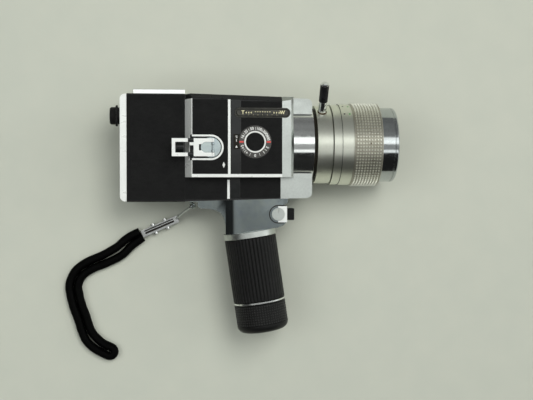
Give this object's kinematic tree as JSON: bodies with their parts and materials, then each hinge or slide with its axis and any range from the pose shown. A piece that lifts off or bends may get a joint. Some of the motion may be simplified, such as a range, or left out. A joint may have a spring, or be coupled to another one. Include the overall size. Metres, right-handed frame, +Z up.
{
  "type": "super 8 movie camera",
  "caption": "Hand-held small-gauge movie camera with a zoom lens, folding wind-back crank, exposure dial, pistol grip with battery cap and a wrist strap.",
  "frame": {"origin": "on the surface the camera lies on, under the middle of the camera's outline, wrist strap left out", "axes": "+X from the eyecup towards the lens, +Y from the grip towards the accessory shoe, +Z up, out of the camera's right side"},
  "size_m": [0.2706, 0.2292, 0.0714],
  "materials": {
    "chrome": "polished",
    "satin_metal": "satin",
    "champagne": "fine satin anodised",
    "leatherette": "grained leatherette",
    "body_paint": "semi-gloss black",
    "gloss_black": "gloss",
    "matte_black": "matt moulded",
    "rubber": "matt",
    "glass": "coated",
    "brass": "machined",
    "steel": "brushed",
    "dial_metal": "satin",
    "board": "printed circuit board",
    "strap_leather": "rolled, semi-gloss",
    "battery_wrap": "printed sleeve"
  },
  "bodies": {
    "camera": {"main_housing": "body_paint", "rear_bezel": "chrome", "side_housing": "body_paint", "left_housing": "leatherette", "side_trim": "chrome", "crank_bezel": "chrome", "band_panel": "gloss_black", "leather_coverings": "leatherette", "front_plate": "satin_metal", "lens_collar": "chrome", "accessory_shoe": "chrome", "tripod_bush": "steel", "viewfinder_tube": "matte_black", "eyecup": "rubber", "eyepiece_lens": "glass", "finder_prisms": "glass", "film_gate": "steel", "drive_motor": "steel", "circuit_board": "board", "zoom_motor": "steel", "lens_core": "satin_metal", "index_ring": "champagne", "relay_tube": "matte_black", "door_hinge_pin": "steel", "rocker_bezel": "gloss_black", "grip_mount": "chrome", "grip_collar": "satin_metal", "grip_sleeve": "rubber", "battery_holder": "matte_black", "batteries": "battery_wrap", "grip_ring": "chrome", "housing_screws": "steel"},
    "diopter": {"diopter_ring": "matte_black"},
    "zoom": {"zoom_ring": "champagne", "zoom_lever": "chrome", "lever_knob": "matte_black"},
    "zoom_optics": {"zoom_lens": "glass"},
    "zoom_drive": {"zoom_pinion": "brass"},
    "focus": {"focus_ring": "champagne", "front_ring": "chrome", "front_element": "glass"},
    "shutter": {"shutter": "steel"},
    "motor_rotor": {"motor_pinion": "brass"},
    "claw": {"pulldown_claw": "steel"},
    "takeup": {"takeup_spindle": "steel"},
    "crank": {"crank_hub": "chrome"},
    "crank_arm": {"crank_arm": "chrome"},
    "crank_knob": {"crank_knob": "gloss_black"},
    "rocker": {"zoom_rocker": "matte_black"},
    "dial": {"exposure_dial": "dial_metal"},
    "trigger": {"trigger": "matte_black", "trigger_spring": "steel"},
    "trigger_lock": {"trigger_lock": "satin_metal"},
    "door": {"film_door": "body_paint"},
    "door_latch": {"door_latch": "chrome"},
    "battery_cap": {"battery_cap": "matte_black", "contact_spring": "brass"},
    "strap": {"strap_link": "chrome", "strap_clip": "chrome", "wrist_strap": "strap_leather"}
  },
  "joints": [
    {"name": "zoom_turn", "type": "hinge", "parent": "camera", "child": "zoom", "pos_m": [0.05305, 0.05202, 0.035], "axis": [1, 0, 0], "range_deg": [-66, 54]},
    {"name": "zoom_travel", "type": "slide", "parent": "camera", "child": "zoom_optics", "axis": [1, 0, 0], "range_m": [-0.0118, 0.0097]},
    {"name": "zoom_pinion_spin", "type": "hinge", "parent": "camera", "child": "zoom_drive", "pos_m": [0.03805, 0.07812, 0.02283], "axis": [1, 0, 0], "range_deg": [-388, 472]},
    {"name": "focus_turn", "type": "hinge", "parent": "camera", "child": "focus", "pos_m": [0.08805, 0.05202, 0.035], "axis": [1, 0, 0], "range_deg": [-100, 100]},
    {"name": "diopter_turn", "type": "hinge", "parent": "camera", "child": "diopter", "pos_m": [-0.10955, 0.07392, 0.0475], "axis": [1, 0, 0], "range_deg": [-45, 45]},
    {"name": "shutter_spin", "type": "hinge", "parent": "camera", "child": "shutter", "pos_m": [-0.02095, 0.04002, 0.042], "axis": [1, 0, 0], "continuous": true},
    {"name": "motor_spin", "type": "hinge", "parent": "camera", "child": "motor_rotor", "pos_m": [-0.01495, 0.03605, 0.05584], "axis": [1, 0, 0], "continuous": true},
    {"name": "claw_stroke", "type": "slide", "parent": "camera", "child": "claw", "axis": [0, 1, 0], "range_m": [-0.002, 0.002]},
    {"name": "crank_spin", "type": "hinge", "parent": "camera", "child": "crank", "pos_m": [-0.03565, 0.04852, 0.06], "axis": [0, 0, 1], "continuous": true},
    {"name": "takeup_spin", "type": "hinge", "parent": "camera", "child": "takeup", "pos_m": [-0.06295, 0.04852, 0.046], "axis": [0, 0, 1], "continuous": true},
    {"name": "crank_unfold", "type": "hinge", "parent": "crank", "child": "crank_arm", "pos_m": [-0.03405, 0.04852, 0.0679], "axis": [0, 1, 0], "range_deg": [0, 168]},
    {"name": "crank_knob_flip", "type": "hinge", "parent": "crank_arm", "child": "crank_knob", "pos_m": [-0.05675, 0.04852, 0.0679], "axis": [0, -1, 0], "range_deg": [0, 90]},
    {"name": "rocker_tilt", "type": "hinge", "parent": "camera", "child": "rocker", "pos_m": [0.00495, 0.07582, 0.0636], "axis": [0, 1, 0], "range_deg": [-3, 3], "stiffness_Nm_per_rad": 0.5},
    {"name": "dial_turn", "type": "hinge", "parent": "camera", "child": "dial", "pos_m": [-0.00095, 0.05292, 0.066], "axis": [0, 0, 1], "range_deg": [-70, 70]},
    {"name": "trigger_pull", "type": "slide", "parent": "camera", "child": "trigger", "axis": [-1, 0, 0], "range_m": [0, 0.003], "stiffness_N_per_m": 600, "deforming": ["trigger_spring"]},
    {"name": "trigger_lock_turn", "type": "hinge", "parent": "camera", "child": "trigger_lock", "pos_m": [0.01895, -0.00458, 0.05], "axis": [0, 0, 1], "range_deg": [0, 90]},
    {"name": "door_swing", "type": "hinge", "parent": "camera", "child": "door", "pos_m": [-0.09935, 0.04852, 0.0162], "axis": [0, 1, 0], "range_deg": [0, 100]},
    {"name": "latch_turn", "type": "hinge", "parent": "door", "child": "door_latch", "pos_m": [-0.03245, 0.04852, 0.016], "axis": [0, 0, 1], "range_deg": [0, 90]},
    {"name": "cap_turn", "type": "hinge", "parent": "camera", "child": "battery_cap", "pos_m": [-0.00265, -0.02338, 0.035], "axis": [0.1444, -0.9895, 0], "range_deg": [0, 120]},
    {"name": "strap_swing", "type": "hinge", "parent": "camera", "child": "strap", "pos_m": [-0.04965, 0.00242, 0.035], "axis": [0, 0, 1], "range_deg": [-12, 12]}
  ],
  "couplings": [
    {"joint": "zoom_travel", "follows": "zoom_turn", "m_per_rad": 0.01},
    {"joint": "zoom_pinion_spin", "follows": "zoom_turn", "ratio": -7},
    {"joint": "motor_spin", "follows": "shutter_spin", "ratio": -3},
    {"joint": "takeup_spin", "follows": "crank_spin", "ratio": -0.51667}
  ]
}
